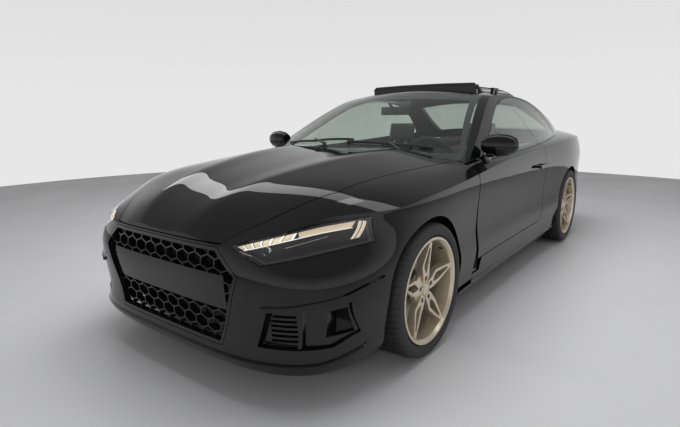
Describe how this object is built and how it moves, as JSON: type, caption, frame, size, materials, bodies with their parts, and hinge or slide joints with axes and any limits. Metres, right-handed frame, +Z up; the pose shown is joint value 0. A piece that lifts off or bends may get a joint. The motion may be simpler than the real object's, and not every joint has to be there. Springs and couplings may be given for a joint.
{
  "type": "two-door coupe car",
  "caption": "Two-door coupe car with opening doors, bonnet and boot lid, steered front wheels and an open sunroof.",
  "frame": {"origin": "on the floor under the middle of the car's bounding box", "axes": "+Z up, -Y towards the front of the car, +X towards the car's left side"},
  "size_m": [2.028, 4.6841, 1.4088],
  "materials": {
    "black_paint": "deep gloss black",
    "dark_metal": "matt dark underbody paint",
    "gloss_black": "gloss black moulding",
    "matte_black": "fine-grained black moulding",
    "glass": "lightly green tinted glass",
    "dark_glass": "dark tinted roof glass",
    "lamp_lens": "clear lamp cover",
    "lamp_inner": "dark lamp housing with bright strips",
    "tail_lens": "dark red lamp cover",
    "bronze": "champagne bronze satin paint",
    "tyre": "black tyre rubber",
    "disc": "turned brake face",
    "cast": "cast running gear",
    "engine": "engine block",
    "leather": "black leather",
    "steel": "polished exhaust steel"
  },
  "bodies": {
    "body": {"front_bumper": "black_paint", "rear_bumper": "black_paint", "front_fenders": "black_paint", "side_frame_left": "black_paint", "side_frame_right": "black_paint", "roof": "black_paint", "front_structure": "dark_metal", "floor_pan": "dark_metal", "rear_panel": "dark_metal", "windscreen": "glass", "rear_window": "glass", "quarter_windows": "glass", "headlamps": "lamp_lens", "headlamp_housings": "lamp_inner", "tail_lamps": "tail_lens", "grille": "gloss_black", "bumper_grilles": "gloss_black", "engine": "engine", "front_axle": "cast", "rear_axle": "cast", "exhaust": "steel", "dashboard": "matte_black", "steering_wheel": "leather", "front_seats": "leather", "rear_seat": "leather", "sunroof_glass": "dark_glass", "sunroof_deflector": "matte_black"},
    "bonnet": {"bonnet": "black_paint"},
    "boot_lid": {"boot_lid": "black_paint"},
    "door_left": {"door_left": "black_paint", "door_glass_left": "glass", "mirror_left": "gloss_black"},
    "knuckle_left": {"knuckle_left": "cast"},
    "wheel_front_left": {"rim_front_left": "bronze", "tyre_front_left": "tyre", "brake_disc_front_left": "disc"},
    "wheel_rear_left": {"rim_rear_left": "bronze", "tyre_rear_left": "tyre", "brake_disc_rear_left": "disc"},
    "door_right": {"door_right": "black_paint", "door_glass_right": "glass", "mirror_right": "gloss_black"},
    "knuckle_right": {"knuckle_right": "cast"},
    "wheel_front_right": {"rim_front_right": "bronze", "tyre_front_right": "tyre", "brake_disc_front_right": "disc"},
    "wheel_rear_right": {"rim_rear_right": "bronze", "tyre_rear_right": "tyre", "brake_disc_rear_right": "disc"}
  },
  "joints": [
    {"name": "door_left_open", "type": "hinge", "parent": "body", "child": "door_left", "pos_m": [0.88, -0.84, 0.6], "axis": [0, 0, -1], "range_deg": [0, 65]},
    {"name": "steer_left", "type": "hinge", "parent": "body", "child": "knuckle_left", "pos_m": [0.745, -1.4785, 0.333], "axis": [0, 0, 1], "range_deg": [-35, 35]},
    {"name": "spin_front_left", "type": "hinge", "parent": "knuckle_left", "child": "wheel_front_left", "pos_m": [0.786, -1.4785, 0.333], "axis": [1, 0, 0], "continuous": true},
    {"name": "spin_rear_left", "type": "hinge", "parent": "body", "child": "wheel_rear_left", "pos_m": [0.786, 1.2855, 0.333], "axis": [1, 0, 0], "continuous": true},
    {"name": "door_right_open", "type": "hinge", "parent": "body", "child": "door_right", "pos_m": [-0.88, -0.84, 0.6], "axis": [0, 0, 1], "range_deg": [0, 65]},
    {"name": "steer_right", "type": "hinge", "parent": "body", "child": "knuckle_right", "pos_m": [-0.745, -1.4785, 0.333], "axis": [0, 0, 1], "range_deg": [-35, 35]},
    {"name": "spin_front_right", "type": "hinge", "parent": "knuckle_right", "child": "wheel_front_right", "pos_m": [-0.786, -1.4785, 0.333], "axis": [1, 0, 0], "continuous": true},
    {"name": "spin_rear_right", "type": "hinge", "parent": "body", "child": "wheel_rear_right", "pos_m": [-0.786, 1.2855, 0.333], "axis": [1, 0, 0], "continuous": true},
    {"name": "bonnet_open", "type": "hinge", "parent": "body", "child": "bonnet", "pos_m": [0, -0.915, 0.912], "axis": [-1, 0, 0], "range_deg": [0, 50]},
    {"name": "boot_lid_open", "type": "hinge", "parent": "body", "child": "boot_lid", "pos_m": [0, 1.828, 1.03], "axis": [1, 0, 0], "range_deg": [0, 78]}
  ],
  "couplings": [
    {"joint": "steer_right", "follows": "steer_left", "ratio": 1}
  ]
}
